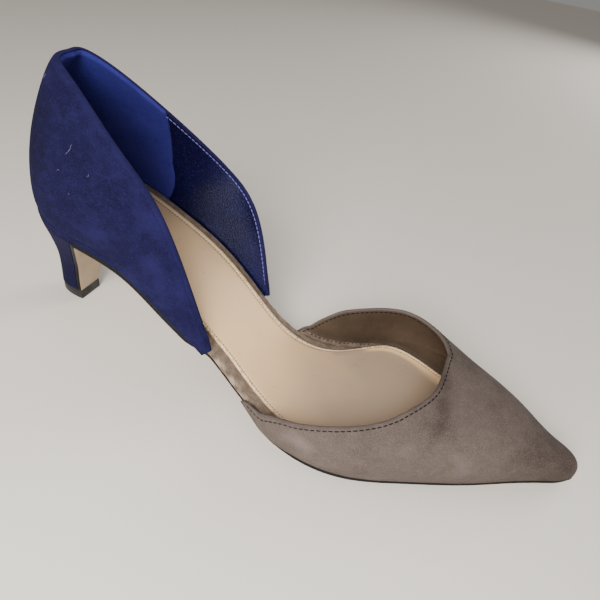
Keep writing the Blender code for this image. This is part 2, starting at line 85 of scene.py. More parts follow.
def steady(knots, values, at):
    """A cubic through the knots that never overshoots them, with level ends on a level stretch."""
    knots, values, at = np.asarray(knots, float), np.asarray(values, float), np.asarray(at, float)
    span = np.diff(knots)
    chord = np.diff(values) / span
    both = chord[1:] * chord[:-1]
    inner = np.where(both > 0, 2 * both / np.where(both > 0, chord[1:] + chord[:-1], 1), 0)
    slope = np.concatenate([chord[:1], inner, chord[-1:]])
    i = np.clip(np.searchsorted(knots, at, side="right") - 1, 0, len(chord) - 1)
    t = np.clip((at - knots[i]) / span[i], 0, 1)
    rise = values[i] + (values[i + 1] - values[i]) * t**2 * (3 - 2 * t)
    return rise + span[i] * (slope[i] * t * (1 - t) ** 2 - slope[i + 1] * t**2 * (1 - t))


def spline(knots, values, at):
    """The natural cubic spline through the knots, as a draughtsman's lath bends."""
    knots, values, at = np.asarray(knots, float), np.asarray(values, float), np.asarray(at, float)
    span = np.diff(knots)
    chord = np.diff(values) / span
    middle = np.arange(1, len(knots) - 1)
    system = np.eye(len(knots))
    system[middle, middle - 1] = span[:-1]
    system[middle, middle] = 2 * (span[:-1] + span[1:])
    system[middle, middle + 1] = span[1:]
    bend = np.linalg.solve(system, np.concatenate([[0], 6 * np.diff(chord), [0]]))
    i = np.clip(np.searchsorted(knots, at, side="right") - 1, 0, len(span) - 1)
    a, b, h = knots[i + 1] - at, at - knots[i], span[i]
    curved = (bend[i] * a**3 + bend[i + 1] * b**3) / (6 * h)
    return curved + (values[i] / h - bend[i] * h / 6) * a + (values[i + 1] / h - bend[i + 1] * h / 6) * b


def sole_curve():
    """Shares, x, z and slope of the board's underside: slopes steepened together until the drop is right."""
    share = np.linspace(0, 1, 801)
    low, high = 0.1, 2.0
    for _ in range(50):
        steeper = (low + high) / 2
        degrees = np.where(SLOPES[1] > 0, SLOPES[1] * steeper, SLOPES[1])
        angle = np.radians(steady(SLOPES[0], degrees, share))
        middle = (angle[1:] + angle[:-1]) / 2
        x = np.concatenate([[0], np.cumsum(np.cos(middle))]) * SOLE_LENGTH / 800
        z = np.concatenate([[0], -np.cumsum(np.sin(middle))]) * SOLE_LENGTH / 800
        low, high = (steeper, high) if z[0] - z.min() < SEAT_HEIGHT else (low, steeper)
    return share, x - HEEL_TIP_BACK - HEEL_TIP_LENGTH / 2, z - z.min() + OUTSOLE_THICKNESS + GAP, angle


SHARE, CURVE_X, CURVE_Z, CURVE_ANGLE = sole_curve()


def place(s, y, height):
    """The sole curve's point at share s, moved square to the curve by height and across by y."""
    s, y, height = np.broadcast_arrays(np.asarray(s, float), y, height)
    angle = np.interp(s, SHARE, CURVE_ANGLE)
    past = (s - np.clip(s, 0, 1)) * SOLE_LENGTH
    x = np.interp(s, SHARE, CURVE_X) + np.cos(angle) * past + np.sin(angle) * height
    z = np.interp(s, SHARE, CURVE_Z) - np.sin(angle) * past + np.cos(angle) * height
    return np.stack([x, y, z], -1)


def round_end(distance, reach):
    """Quarter circle: the root of 1 minus the square of the share that is left to reach, then 1."""
    return np.sqrt(np.clip(1 - np.clip(1 - distance / reach, 0, 1) ** 2, 0, 1))


def outline(s, side, grow=0.0):
    """y of the last's feather edge: a spline of half widths, closed by a quarter circle at each end."""
    s = np.asarray(s, float)
    half = spline(OUTLINE[0], OUTLINE[1 if side == MEDIAL else 2] * BALL_WIDTH, np.clip(s, 0, 1))
    tip_side = TOE_TIP_SHIFT * np.clip((s - OUTLINE[0, -3]) / (1 - OUTLINE[0, -3]), 0, 1) ** 2
    back = round_end(s * SOLE_LENGTH + grow, SEAT_ROUND + grow)
    front = round_end((1 - s) * SOLE_LENGTH + grow, TOE_ROUND + grow)
    return side * ((half - side * tip_side + grow) * back * front) + tip_side


def sole_loop(grow):
    """Shares and y all round an outline grown by a length: up the medial side and back the lateral."""
    over, back_reach, front_reach = np.array([grow, SEAT_ROUND, TOE_ROUND]) / SOLE_LENGTH
    shares = np.concatenate(
        [
            -over + (back_reach + over) * (1 - np.cos(np.linspace(0, math.pi / 2, 37))),
            np.linspace(back_reach, 1 - front_reach, 221)[1:],
            1 - front_reach + (front_reach + over) * np.sin(np.linspace(0, math.pi / 2, 21))[1:],
        ]
    )
    medial, lateral = outline(shares, MEDIAL, grow), outline(shares, LATERAL, grow)
    return np.concatenate([shares, shares[-2:0:-1]]), np.concatenate([medial, lateral[-2:0:-1]])


def slab(loop, grow, height, inward, lift=None):
    """Rings that wrap a plate: each is the outline grown, drawn in to the middle line, and lifted."""
    rings = []
    for wider, up, part in zip(grow, height, inward):
        shares, y = loop(wider)
        middle = (outline(shares, MEDIAL) + outline(shares, LATERAL)) / 2
        y = middle + (y - middle) * part
        rings.append(place(shares, y, up if lift is None else up + lift(shares, y)))
    return np.array(rings)


def quads(rows, count, wrap_rows=False, wrap_count=False):
    """Corner numbers of the faces of a grid of points, closed round either way where asked."""
    r = np.arange(rows if wrap_rows else rows - 1)[:, None]
    c = np.arange(count if wrap_count else count - 1)[None]
    r2, c2 = (r + 1) % rows, (c + 1) % count
    return np.stack([r * count + c, r * count + c2, r2 * count + c2, r2 * count + c], -1).reshape(-1, 4)


def hex_colour(code):
    """Linear colour of an sRGB hex code."""
    srgb = np.array([int(code[i : i + 2], 16) / 255 for i in (1, 3, 5)])
    linear = np.where(srgb <= 0.04045, srgb / 12.92, ((srgb + 0.055) / 1.055) ** 2.4)
    return (*linear, 1.0)


def new_material(name):
    """An empty material, its node tree and its surface shader."""
    material = bpy.data.materials.new(name)
    material.use_nodes = True
    return material, material.node_tree, material.node_tree.nodes["Principled BSDF"]


def connect(tree, node, inputs):
    """Links or sets a node's inputs, which are named or numbered. A hex code is a colour."""
    for name, value in inputs.items():
        if isinstance(value, bpy.types.NodeSocket):
            tree.links.new(value, node.inputs[name])
        else:
            node.inputs[name].default_value = hex_colour(value) if isinstance(value, str) else value


def add(tree, kind, inputs, out=0, **settings):
    """Adds a node, sets its properties and inputs, and returns one of its outputs."""
    made = tree.nodes.new(kind)
    for name, value in settings.items():
        setattr(made, name, value)
    connect(tree, made, inputs)
    return made.outputs[out]


NOISE, RAMP, MIX, BUMP = "ShaderNodeTexNoise", "ShaderNodeMapRange", "ShaderNodeMix", "ShaderNodeBump"


def layered(tree, ground, layers):
    """Colours over a ground: each fades in as its value goes from where it begins to where it is full."""
    for value, begins, full, most, colour in layers:
        part = add(tree, RAMP, {"Value": value, "From Min": begins, "From Max": full, "To Max": most})
        ground = add(tree, MIX, {"Factor": part, 6: ground, 7: colour}, out=2, data_type="RGBA")
    return ground


def suede(name, dark, body, pale, fibre, streak, cloud_mm=15.0):
    """Split hide brushed to a nap, which lies this way and that and so clouds darker and paler.

    Clouds are some 15 mm wide and brush marks 3 mm. The fibres are 0.1 mm thick in truth, too fine to show,
    and are drawn 0.4 mm wide. The nap attribute is the way the nap lies and also carries painted light and
    shade: pale above 0, dark below it, and darker still from -0.3 down. edge_mm is the distance from a
    folded edge, which is paler there, as nap worn short and as a painted highlight on the rolled edge.
    """
    material, tree, shader = new_material(name)
    where = add(tree, "ShaderNodeTexCoord", {}, out="Object")
    clouds = add(tree, NOISE, {"Vector": where, "Scale": 1000 / cloud_mm, "Detail": 4.0, "Roughness": 0.55})
    brushed = add(tree, "ShaderNodeMapping", {"Vector": where, "Scale": (0.7, 1.0, 1.0)})
    strokes = add(tree, NOISE, {"Vector": brushed, "Scale": 1000 / 3.0, "Detail": 5.0, "Roughness": 0.7})
    fibres = add(tree, NOISE, {"Vector": where, "Scale": 1000 / 0.4, "Detail": 2.0, "Roughness": 0.7})
    rubbed_and_shaded = add(tree, "ShaderNodeAttribute", {}, out="Fac", attribute_name="nap")
    edge = add(tree, "ShaderNodeAttribute", {}, out="Fac", attribute_name="edge_mm")
    lying = add(tree, "ShaderNodeMath", {0: rubbed_and_shaded, 1: 0.24, 2: clouds}, operation="MULTIPLY_ADD")
    layers = (
        (lying, 0.06, 0.46, 1.0, body),
        (lying, 0.56, 0.92, 1.0, pale),
        (strokes, 0.46, 0.68, streak, pale),
        (fibres, 0.48, 0.74, 0.55, fibre),
        (edge, 1.4, 0.0, 0.3, fibre),
        (rubbed_and_shaded, -0.3, -1.8, 0.6, dark),
    )
    ground = layered(tree, dark, layers)
    lumps = add(tree, BUMP, {"Height": strokes, "Strength": 0.3, "Distance": 0.4 * MM})
    grain = add(tree, BUMP, {"Height": fibres, "Strength": 0.55, "Distance": 0.25 * MM, "Normal": lumps})
    connect(tree, shader, {"Base Color": ground, "Normal": grain, "Roughness": 0.95})
    connect(tree, shader, {"Specular IOR Level": 0.12, "Sheen Weight": 0.08, "Sheen Roughness": 0.45})
    connect(tree, shader, {"Sheen Tint": fibre})
    return material


def put(name, data):
    """A new object with a mesh, light or camera, linked into the scene."""
    thing = bpy.data.objects.new(name, data)
    bpy.context.scene.collection.objects.link(thing)
    return thing


def piece(name, points, faces, materials, part_of, slot, face_layer=None, edge_mm=9.0, nap=0.0, weld=4e-6):
    """A finished piece: points and faces welded where they meet, turned outwards, and riding on the shoe.

    edge_mm and nap are given once, for each point, or for each point of one of a shell's two faces.
    """
    mesh = bpy.data.meshes.new(name)
    mesh.from_pydata(np.asarray(points, float).reshape(-1, 3).tolist(), [], np.asarray(faces).tolist())
    for material in materials:
        mesh.materials.append(material)
    if face_layer is not None:
        mesh.polygons.foreach_set("material_index", np.ravel(face_layer).astype(np.int32))
    for attribute, values in (("edge_mm", edge_mm), ("nap", nap)):
        values = np.resize(values, len(mesh.vertices)).astype(np.float32)
        mesh.attributes.new(attribute, "FLOAT", "POINT").data.foreach_set("value", values)
    built = bmesh.new()
    built.from_mesh(mesh)
    bmesh.ops.remove_doubles(built, verts=built.verts, dist=weld)
    bmesh.ops.dissolve_degenerate(built, edges=built.edges, dist=1e-7)
    bmesh.ops.recalc_face_normals(built, faces=built.faces)
    built.to_mesh(mesh)
    built.free()
    mesh.shade_smooth()
    thing = put(name, mesh)
    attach(thing, "root")
    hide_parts(part_of)


def plate(grow, height, count):
    """Growth, height and inward share of a plate's rings: out over one face, round the edge, and back."""
    draw = np.linspace(0, 1, count + 1)[:-1]
    inward = np.concatenate([draw, np.ones(len(grow)), draw[::-1]])
    return np.pad(grow, count, mode="edge"), np.pad(height, count, mode="edge"), inward


edge_turn = np.linspace(math.pi / 2, -math.pi / 2, 15)
edge_radius = BOARD_THICKNESS / 2
edge_grow, edge_height = -GAP - edge_radius * (1 - np.cos(edge_turn)), edge_radius * (1 + np.sin(edge_turn))
board_grow, board_height, board_inward = plate(edge_grow, edge_height, 8)
board = slab(sole_loop, board_grow, board_height, board_inward)
board_shares, board_y = sole_loop(0.0)

# Puckers of the wrap where it is pulled round the waist's edge: length in millimetres, amount and slant
PUCKERS = ((5.0, 1.0, 1.4), (math.pi, 0.9, 2.8), (9.0, 1.3, -1.4))
PUCKER_DEPTH = 0.13 * MM
walk, up = board_shares * SOLE_LENGTH, board_height[:, None]
ripple = sum(amount * np.sin((walk + slant * up) * 2 * math.pi / (mm * MM)) for mm, amount, slant in PUCKERS)
at_waist = steady((0, 0.30, 0.38, 0.45, 0.51, 1), (0, 0, 1, 1, 0, 0), board_shares)
on_side = (np.interp(board_grow, (-GAP - edge_radius, -GAP), (0.25, 1)) * (board_inward == 1))[:, None]
board[..., 1] -= np.sign(board_y) * PUCKER_DEPTH * (1.5 + ripple) * at_waist * on_side
board_nap = (0.9 * ripple * on_side + bell(up - 1.2 * MM, 0.8 * MM)) * at_waist
WRAP = suede("taupe wrap suede", "#44372c", "#6e5e51", "#9b8775", "#a39080", streak=0.7, cloud_mm=4.0)
faces = quads(*board.shape[:2], wrap_count=True)
piece("wrapped_board", board, faces, [WRAP], "insole_board", "taupe_suede", nap=board_nap)

# Vamp
# Taupe suede over the forefoot, closed over the toe and open at the throat, with a wing down each side to
# the waist. The edge is folded over and stitched to a smooth brown lining 1.6 mm in from the fold.

VAMP_HEIGHT, CROWN_SHIFT, SECTION_FULLNESS = 35 * MM, 14 * MM, 2.3
FEATHER_RISE, FEATHER_SWELL, TOE_BULK_ROUND = 7 * MM, 1.4 * MM, 12 * MM
THROAT_AT, VAMP_WING_AT, WING_TIP_SHARE = 0.756, {MEDIAL: 0.490, LATERAL: 0.473}, 0.965

# The climb that the swell over the feather edge takes, and the share over which the crown's shift fades
SWELL_CLIMB, CROWN_FADE = 0.18, 0.30

# Share of the sole length, height of the crown as a share of the vamp's height
CROWN = np.array(
    [(0.47, 2.160), (0.60, 1.320), (0.70, 1.020), (0.80, 0.800), (0.90, 0.570), (0.97, 0.310), (1.00, 0.280)]
).T

# Share of the way down the last, medial and lateral run back as shares of the wing's run
THROAT = np.array(
    [
        (0.00, 0.000, 0.000),
        (0.20, 0.080, 0.014),
        (0.45, 0.365, 0.172),
        (0.70, 0.815, 0.620),
        (0.88, 0.975, 0.950),
        (1.00, 1.000, 1.000),
    ]
).T

# Distances from a folded edge of the rows next to it: a quarter turn of the fold, then past the stitches
FOLD_MM, STITCH_ROW, LINING_ROW = 0.9, 11, 7
STITCH_DIP, STITCH_DIP_WIDTH, LINING_DEPTH, LINING_OVERLAP = 0.12 * MM, 0.25 * MM, 0.25 * MM, 0.3 * MM
fold_turn = FOLD_MM * (1 - np.cos(np.linspace(0, math.pi / 2, 9)))
EDGE_STEPS = np.append(fold_turn, (1.15, 1.4, 1.6, 1.8, 2.05, 2.4, 2.8, 3.3, 4.0)) * MM


def crown_height(s):
    """Height of the crown line: a spline, closed at the toe by the cube root of 1 minus a cube."""
    to_tip = np.clip(1 - (1 - np.asarray(s)) * SOLE_LENGTH / TOE_BULK_ROUND, 0, 1)
    return spline(CROWN[0], CROWN[1] * VAMP_HEIGHT, s) * np.cbrt(1 - to_tip**3)


def section(s, side, climb):
    """A point on the last: climb 0 is the feather edge and 1 the crown, by a swell, then a superellipse."""
    medial, lateral = outline(s, MEDIAL), outline(s, LATERAL)
    width = medial - lateral
    fade = np.clip((1 - s) / CROWN_FADE, 0, 1)
    crown_y = (medial + lateral) / 2 + np.minimum(CROWN_SHIFT, width * 0.25) * fade
    half = np.where(side == MEDIAL, medial - crown_y, crown_y - lateral)
    height = crown_height(s)
    rise = np.minimum(FEATHER_RISE, height * 0.35)
    swell = FEATHER_SWELL * np.clip(width / BALL_WIDTH * 2, 0, 1)
    low = np.clip(climb / SWELL_CLIMB, 0, 1)
    angle = np.clip((climb - SWELL_CLIMB) / (1 - SWELL_CLIMB), 0, 1) * math.pi / 2
    across = (half + swell * (1 - np.cos(math.pi * low)) / 2) * np.cos(angle) ** (2 / SECTION_FULLNESS)
    up = rise * low + (height - rise) * np.sin(angle) ** (2 / SECTION_FULLNESS)
    return place(s, crown_y + side * across, up)


def unit(vectors):
    """Vectors divided by their own lengths."""
    return vectors / np.maximum(np.linalg.norm(vectors, axis=-1, keepdims=True), 1e-12)


def normals(grid, inside):
    """Unit normals of a grid of points: the cross product of its tangents, away from a point inside."""
    out = unit(np.cross(np.gradient(grid, axis=1), np.gradient(grid, axis=0)))
    return out * np.sign(np.sum(out * (grid - inside), -1).mean())


def vamp_grid():
    """Points of the last under the vamp, rows from the topline to the toe, columns over the foot.

    The first rows keep true distances from the topline, so that the fold and its stitches run along it.
    """
    climb = np.concatenate([[0, 0.03], np.linspace(0.06, 1, 84)])
    side = np.repeat([MEDIAL, LATERAL], [len(climb), len(climb) - 1])
    climb = np.concatenate([climb, climb[-2::-1]])
    down = np.minimum(1 - climb, WING_TIP_SHARE)
    runs = np.where(side == MEDIAL, steady(THROAT[0], THROAT[1], down), steady(THROAT[0], THROAT[2], down))
    wing_at = np.where(side == MEDIAL, VAMP_WING_AT[MEDIAL], VAMP_WING_AT[LATERAL])
    start = THROAT_AT - (THROAT_AT - wing_at) * runs

    def over(shares):
        medial, lateral = section(shares, MEDIAL, climb), section(shares, LATERAL, climb)
        return np.where((side == MEDIAL)[..., None], medial, lateral)

    edge, ahead_share = over(start), 0.002
    ahead = over(start + ahead_share) - edge
    leaning = np.linalg.norm(np.cross(unit(np.gradient(edge, axis=0)), unit(ahead)), axis=-1)
    leaning = np.maximum(np.convolve(np.pad(leaning, 4, mode="edge"), np.ones(9) / 9, mode="valid"), 0.3)
    per_metre = ahead_share / np.linalg.norm(ahead, axis=-1) / leaning
    first = start + EDGE_STEPS[:, None] * per_metre
    nose_at = 1 - TOE_BULK_ROUND / SOLE_LENGTH
    middle = first[-1] + (nose_at - first[-1]) * np.linspace(0, 1, 121)[1:, None]
    nose = nose_at + (1 - nose_at) * np.sin(np.linspace(0, math.pi / 2, 26))[1:, None] + 0 * start
    return over(np.concatenate([first, middle, nose]))


def crease(points, start, end, depth, width):
    """How far a crease sinks each point: depth times exp(-(distance / width)²), fading at both ends."""
    run = end - start
    part = np.clip((points - start) @ run / (run @ run), 0, 1)
    off = np.linalg.norm(points - (start + part[..., None] * run), axis=-1)
    return depth * bell(off, width) * np.sqrt(np.sin(math.pi * np.clip(part, 0.02, 0.98)))


def nap_and_shade_spots(points, spots):
    """Sum of soft spots, each its amount times exp(-(distance / radius)²), with radii in mm by axis."""
    total = np.zeros(points.shape[:-1])
    for centre, radius, amount in spots:
        total += amount * np.exp(-np.sum(((points - centre) / (np.array(radius) * MM)) ** 2, -1))
    return total


def folded(last, out, wall):
    """Outer and inner face of a wall with a folded edge, and each point's distance from the edge in mm.

    Half the thickness follows a quarter circle over the fold. The stitches pull a bell-shaped dip.
    """
    steps = np.concatenate([EDGE_STEPS, np.full(len(last) - len(EDGE_STEPS), 1.0)])[:, None]
    full = round_end(steps, FOLD_MM * MM)
    dip = STITCH_DIP * bell(steps - EDGE_STEPS[STITCH_ROW], STITCH_DIP_WIDTH)
    outer = last + out * (wall / 2 * (1 + full) - dip)[..., None]
    inner = last + out * (wall / 2 * (1 - full) + LINING_DEPTH * full)[..., None]
    return outer, inner, np.minimum(steps / MM, 9.0) + 0 * last[..., 0]


def shell(outside, inside):
    """Two grids of one shape, joined round all four borders into a closed shell."""
    rows, count = outside.shape[:2]
    face = quads(rows, count)
    other = rows * count
    border = np.concatenate(
        [
            np.arange(count),
            np.arange(1, rows) * count + count - 1,
            (rows - 1) * count + np.arange(count - 2, -1, -1),
            np.arange(rows - 2, 0, -1) * count,
        ]
    )
    after = np.roll(border, -1)
    rim = np.stack([border, after, after + other, border + other], -1)
    points = np.concatenate([outside.reshape(-1, 3), inside.reshape(-1, 3)])
    return points, np.concatenate([face, face + other, rim])


forefoot = place(0.80, 0, VAMP_HEIGHT * 0.3)
vamp_last = vamp_grid()
vamp_out = normals(vamp_last, forefoot)

# Where walking has folded it: (share, side, climb) of both ends, depth and width in millimetres
FLEX_CREASES = (
    ((0.560, LATERAL, 0.25), (0.632, LATERAL, 0.20), 0.45, 1.4),
    ((0.600, LATERAL, 0.30), (0.665, LATERAL, 0.26), 0.20, 1.6),
    ((0.640, MEDIAL, 0.10), (0.780, MEDIAL, 0.30), 1.10, 1.2),
    ((0.680, MEDIAL, 0.19), (0.775, MEDIAL, 0.38), 0.80, 1.1),
)
sink = np.zeros(vamp_last.shape[:2])
for start, end, depth, width in FLEX_CREASES:
    sink += crease(vamp_last, section(*start), section(*end), depth * MM, width * MM)
vamp_last = vamp_last - vamp_out * sink[..., None]
vamp_out = normals(vamp_last, forefoot)
vamp_out[-1] = unit(place(1.01, 0, 0) - place(1, 0, 0))

# The wall thins towards the wings' tips, and the flexed outer wing is padded by up to 1.1 mm
to_tips = [np.linalg.norm(vamp_last - vamp_last[0, end], axis=-1) for end in (0, -1)]
wall = WALL * (0.3 + 0.7 * np.clip(np.minimum(*to_tips) / (13 * MM), 0, 1))
padded = np.linalg.norm(vamp_last - section(0.545, LATERAL, 0.10), axis=-1)
outer, inner, from_edge = folded(vamp_last, vamp_out, wall + 1.1 * MM * bell(padded, 9 * MM))

# How the nap lies: dark patches under the throat and on the medial side, pale ones on the flexed side.
# The large dark patch over the outer toe is painted shade, where the toe turns away from the light.
VAMP_NAP_AND_SHADE_SPOTS = (
    (np.array((181, -3, 34)) * MM, (4, 5, 6), -1.0),
    (np.array((183, -12, 31)) * MM, (4, 6, 6), -1.2),
    (np.array((184, -20, 27)) * MM, (3.5, 5, 6), -0.8),
    (section(0.800, MEDIAL, 0.85), (9, 9, 9), -0.4),
    (section(0.585, LATERAL, 0.22), (11, 6, 3.5), 1.0),
    (section(0.640, LATERAL, 0.30), (9, 6, 4), 0.4),
    (section(0.720, LATERAL, 0.35), (9, 7, 5), 0.5),
    (section(0.520, LATERAL, 0.10), (5, 5, 4), 0.3),
    (section(0.970, LATERAL, 0.60), (18, 24, 22), -1.1),
    (section(0.880, MEDIAL, 0.60), (14, 12, 14), -0.4),
)
vamp_nap_and_shade = nap_and_shade_spots(outer, VAMP_NAP_AND_SHADE_SPOTS)
vamp_nap_and_shade -= 0.8 * bell(from_edge - 0.4, 0.8)
TAUPE = suede("taupe suede", "#382e29", "#544943", "#6d625c", "#7b7069", streak=0.22)
piece("vamp_suede", *shell(outer, inner), [TAUPE], "vamp", "taupe_suede", edge_mm=from_edge, nap=vamp_nap_and_shade)


def smooth_lining(name, dark, body, glint_colour, roughness, gloss):
    """Smooth dyed lining leather, its 0.3 mm grain drawn 0.7 mm wide, its glints painted as pale specks."""
    material, tree, shader = new_material(name)
    where = add(tree, "ShaderNodeTexCoord", {}, out="Object")
    grain = add(tree, "ShaderNodeTexVoronoi", {"Vector": where, "Scale": 1000 / 0.7})
    clouds = add(tree, NOISE, {"Vector": where, "Scale": 1000 / 20, "Detail": 3.0})
    specks = add(tree, NOISE, {"Vector": where, "Scale": 1000 / 0.45, "Detail": 2.0})
    ground = layered(tree, dark, ((clouds, 0.35, 0.65, 1.0, body), (specks, 0.58, 0.74, 0.5, glint_colour)))
    bump = add(tree, BUMP, {"Height": grain, "Strength": 0.7, "Distance": 0.2 * MM})
    connect(tree, shader, {"Base Color": ground, "Normal": bump})
    connect(tree, shader, {"Roughness": roughness, "Specular IOR Level": gloss})
    return material


def from_ends(count):
    """Steps from the nearer end of a row of so many."""
    return np.minimum(np.arange(count), np.arange(count)[::-1])


# At the wall's feet a hem of wrap suede covers the lining's edge, which thickens it by up to 0.9 mm
BROWN_LINING = smooth_lining("brown lining leather", "#3b2f25", "#4d3f32", "#625142", 0.6, 0.25)
HEM_COLUMNS = 7
columns = vamp_last.shape[1]
glued_margin = (0.02 + 0.9 * bell(from_ends(columns), HEM_COLUMNS)) * MM
lining_in = vamp_last - vamp_out * glued_margin[:, None]
lining_out = vamp_last + vamp_out * LINING_OVERLAP
points, faces = shell(lining_out[LINING_ROW:], lining_in[LINING_ROW:])
wrapped = from_ends(columns - 1)[np.arange(len(faces)) % (columns - 1)] < HEM_COLUMNS
piece("vamp_lining", points, faces, [BROWN_LINING, WRAP], "vamp", "taupe_suede", wrapped, nap=-0.7)


def one_colour(name, colour, roughness, gloss=0.5, grain_mm=None, detail=2.0, strength=0.3, depth_mm=0.2):
    """A material of one colour, with a fine relief of noise where its grain is given."""
    material, tree, shader = new_material(name)
    connect(tree, shader, {"Base Color": colour, "Roughness": roughness, "Specular IOR Level": gloss})
    if grain_mm is not None:
        where = add(tree, "ShaderNodeTexCoord", {}, out="Object")
        grain = add(tree, NOISE, {"Vector": where, "Scale": 1000 / grain_mm, "Detail": detail})
        bump = add(tree, BUMP, {"Height": grain, "Strength": strength, "Distance": depth_mm * MM})
        connect(tree, shader, {"Normal": bump})
    return material


def thread(name, colour, roughness):
    """Twisted polyester thread: a dull sheen and fine twist lines across it."""
    return one_colour(name, colour, roughness, gloss=0.15, grain_mm=0.3, strength=0.4, depth_mm=0.1)


def walked_along(path):
    """Distance walked along a path to each of its points."""
    return np.concatenate([[0], np.cumsum(np.linalg.norm(np.diff(path, axis=0), axis=1))])


def blended(at, steps, points):
    """Points at the steps of at, blended straight between the given points, which lie at steps."""
    return np.stack([np.interp(at, steps, points[:, i]) for i in range(3)], -1)


def many(grid_faces, count, size):
    """Faces of so many like grids of size points, one after the other."""
    return (grid_faces[None] + (np.arange(count) * size)[:, None, None]).reshape(-1, 4)


def stitch_row(name, path, out, material, part_of, slot, pitch=2.2, length=1.65, radius=0.28):
    """Stitches along a path, in millimetres: balls stretched to length at an even pitch, half sunk."""
    steps = walked_along(path)
    count = int(steps[-1] / (pitch * MM))
    at = (np.arange(count) + 0.5) * steps[-1] / count
    centre, ahead = blended(at, steps, path), blended(at + pitch * MM / 4, steps, path)
    up = blended(at, steps, out)
    along = unit(ahead - centre)
    across = unit(np.cross(along, up))
    turn, tilt = np.meshgrid(np.linspace(0, 2 * math.pi, 7)[:-1], np.linspace(0, math.pi, 7), indexing="ij")
    thick = np.sin(tilt) ** 0.5 * radius * MM
    ball = np.stack([-np.cos(tilt) * length * MM / 2, np.cos(turn) * thick, np.sin(turn) * thick], -1)
    points = centre[:, None, None] + np.einsum("tuk,skj->stuj", ball, np.stack([along, across, unit(up)], 1))
    faces = many(quads(*turn.shape, wrap_rows=True), count, turn.size)
    piece(name, points, faces, [material], part_of, slot, weld=1e-7)


BROWN_THREAD = thread("brown thread", "#150e09", roughness=0.8)

# The seam stops a few columns short of the wings' tips
seam = slice(3, -3)
outward = vamp_out[STITCH_ROW, seam]
stitch_row("vamp_stitches", outer[STITCH_ROW, seam], outward, BROWN_THREAD, "vamp", "taupe_suede")
inside = lining_in[STITCH_ROW, seam]
stitch_row("vamp_stitches_inside", inside, -outward, BROWN_THREAD, "vamp", "taupe_suede")
hem_shares = np.linspace(0.515, 0.640, 60)
hem = section(hem_shares, MEDIAL, 0.105)
hem_in = unit(place(hem_shares, 0, 8 * MM) - hem)
hem = hem + hem_in * 0.4 * MM
stitch_row("lining_hem_stitches", hem, hem_in, BROWN_THREAD, "vamp", "taupe_suede", pitch=2.0, length=1.2)

# Counter
# Dark blue suede round the heel, swept down to the waist on both sides, a little padded at the back's top.
# Its edge is folded and stitched to navy leather, and a cobalt suede grip is glued in round the back.

COUNTER_HEIGHT, COUNTER_LEAN, COUNTER_SWELL, COUNTER_FULLNESS = 55 * MM, 18 * MM, 6.0 * MM, 0.65
FOOT_SHARE, COUNTER_WING_AT = 0.08, {MEDIAL: 0.400, LATERAL: 0.382}

# Share along the topline from the back, forward as a share of the wing's reach, height and half width
COUNTER_TOPLINE = {
    MEDIAL: np.array(
        [
            (0.00, 0.000, 1.000, 0.000),
            (0.07, 0.002, 1.000, 0.050),
            (0.18, 0.120, 0.940, 0.080),
            (0.38, 0.360, 0.632, 0.240),
            (0.58, 0.595, 0.235, 0.440),
            (0.80, 0.840, -0.065, 0.360),
        ]
    ).T,
    LATERAL: np.array(
        [
            (0.00, 0.000, 1.000, 0.000),
            (0.07, 0.000, 0.990, 0.080),
            (0.18, 0.127, 0.928, 0.164),
            (0.38, 0.384, 0.655, 0.233),
            (0.58, 0.577, 0.375, 0.244),
            (0.80, 0.787, -0.052, 0.298),
        ]
    ).T,
}
BACK = 140


def counter_half(side, along, count):
    """Half of the counter's wall: ribs from the feather edge to the topline, swelled by a power of a sine.

    Rows run down from the topline, the first ones at true distances from it.
    """
    reach = SEAT_ROUND / SOLE_LENGTH
    turn = reach * (1 - np.cos(np.linspace(0, math.pi / 2, 60)))
    fine = np.concatenate([turn, np.linspace(reach, COUNTER_WING_AT[side], 90)[1:]])
    rail = place(fine, outline(fine, side), 0)
    length = walked_along(rail)
    foot = blended(along * length[-1], length, rail)
    at, forward, height, half = COUNTER_TOPLINE[side]
    tip = place(COUNTER_WING_AT[side], outline(COUNTER_WING_AT[side], side), BOARD_THICKNESS)
    back_top = place(0, 0, 0) + np.array([COUNTER_LEAN, 0, COUNTER_HEIGHT])
    x = np.append(back_top[0] + forward * (tip[0] - back_top[0]), tip[0])
    y = np.append(side * half * BALL_WIDTH, tip[1])
    z = np.append(back_top[2] - (1 - height) * COUNTER_HEIGHT, tip[2])
    head = np.stack([spline(np.append(at, 1.0), values, along) for values in (x, y, z)], -1)
    outward = foot - place(0.13, 0, 0)
    outward[:, 2] = 0
    swell = COUNTER_SWELL * np.clip((head[:, 2] - foot[:, 2]) / COUNTER_HEIGHT, 0, 1)
    angle = np.interp(foot[:, 0], CURVE_X, CURVE_ANGLE)
    square = np.stack([np.sin(angle), 0 * angle, np.cos(angle)], -1)
    span = np.linalg.norm(head - foot, axis=1)
    stand = np.minimum(BOARD_THICKNESS + GAP, 0.6 * span)
    leaning = np.linalg.norm(np.cross(unit(np.gradient(head, axis=0)), unit(head - foot)), axis=-1)
    first = 1 - EDGE_STEPS[:, None] / np.maximum(leaning, 0.3) / np.maximum(span, 9 * MM)
    levels = np.concatenate([first, first[-1] * np.linspace(1, 0, count + 1)[1:, None]])[..., None]
    low = foot + (square * stand[:, None]) * np.minimum(levels / FOOT_SHARE, 1)
    part = (np.maximum(levels, FOOT_SHARE) - FOOT_SHARE) / (1 - FOOT_SHARE)
    bulge = np.clip(np.sin(math.pi * part), 0, 1) ** COUNTER_FULLNESS
    return low + (head - low) * part + unit(outward) * swell[:, None] * bulge


